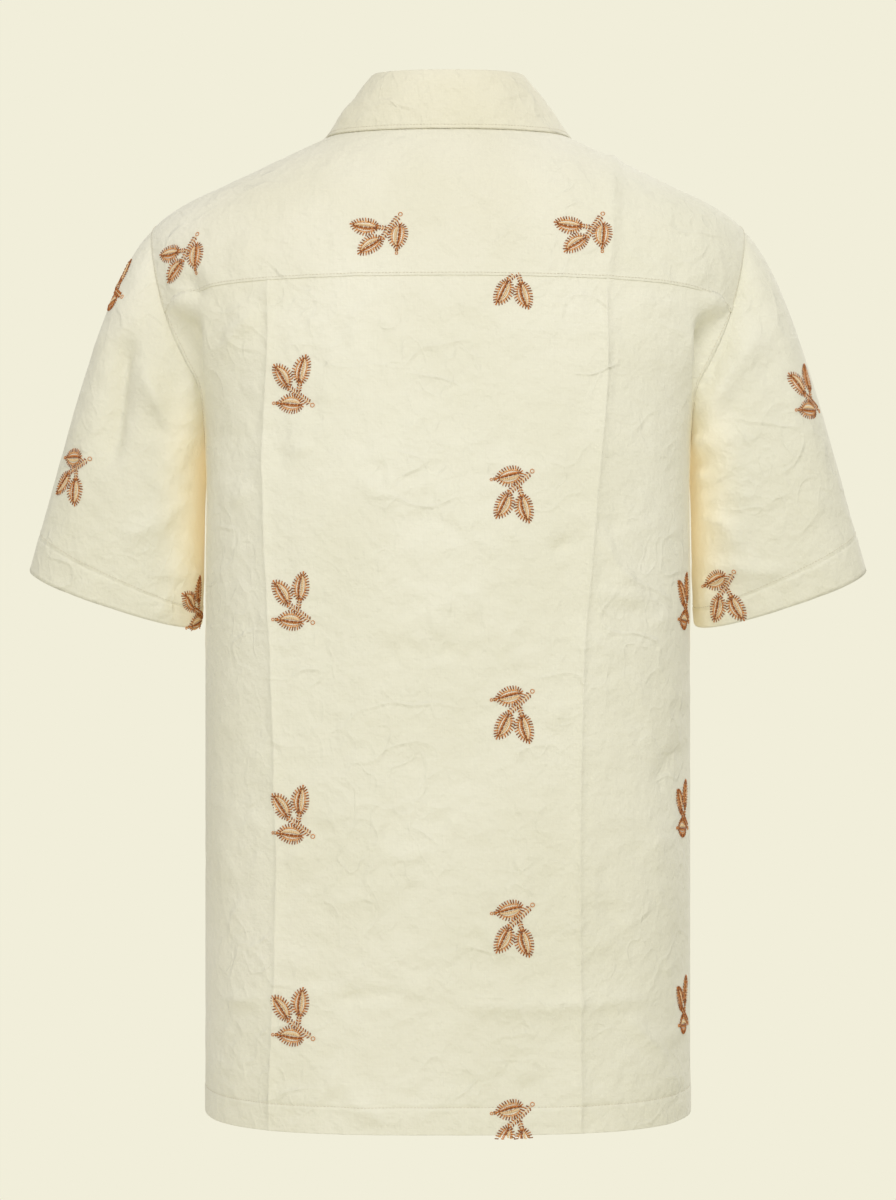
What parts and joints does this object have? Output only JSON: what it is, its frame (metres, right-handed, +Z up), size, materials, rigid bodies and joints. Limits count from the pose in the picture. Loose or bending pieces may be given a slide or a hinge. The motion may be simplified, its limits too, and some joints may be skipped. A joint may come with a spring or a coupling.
{
  "type": "embroidered short-sleeved shirt, filled out as worn",
  "caption": "Short-sleeved button shirt with a yoke and fold-over collar, filled out hollow as worn, for stitched leaf sprigs.",
  "frame": {"origin": "middle of the neck, at the height where the shoulder line meets the neck", "axes": "+Z up, the wearer faces -Y, +X to the wearer's left"},
  "size_m": [0.651, 0.3083, 0.7952],
  "materials": {
    "cloth": "cream plain-weave cloth, soft, with a faint press crease",
    "button": "cream pearl, polished"
  },
  "bodies": {
    "root": {"yoke": "cloth", "back": "cloth", "front_left": "cloth", "front_right": "cloth", "collar": "cloth", "sleeve_left": "cloth", "sleeve_right": "cloth", "button_1": "button", "button_2": "button", "button_3": "button", "button_4": "button", "button_5": "button", "button_6": "button"}
  },
  "joints": []
}
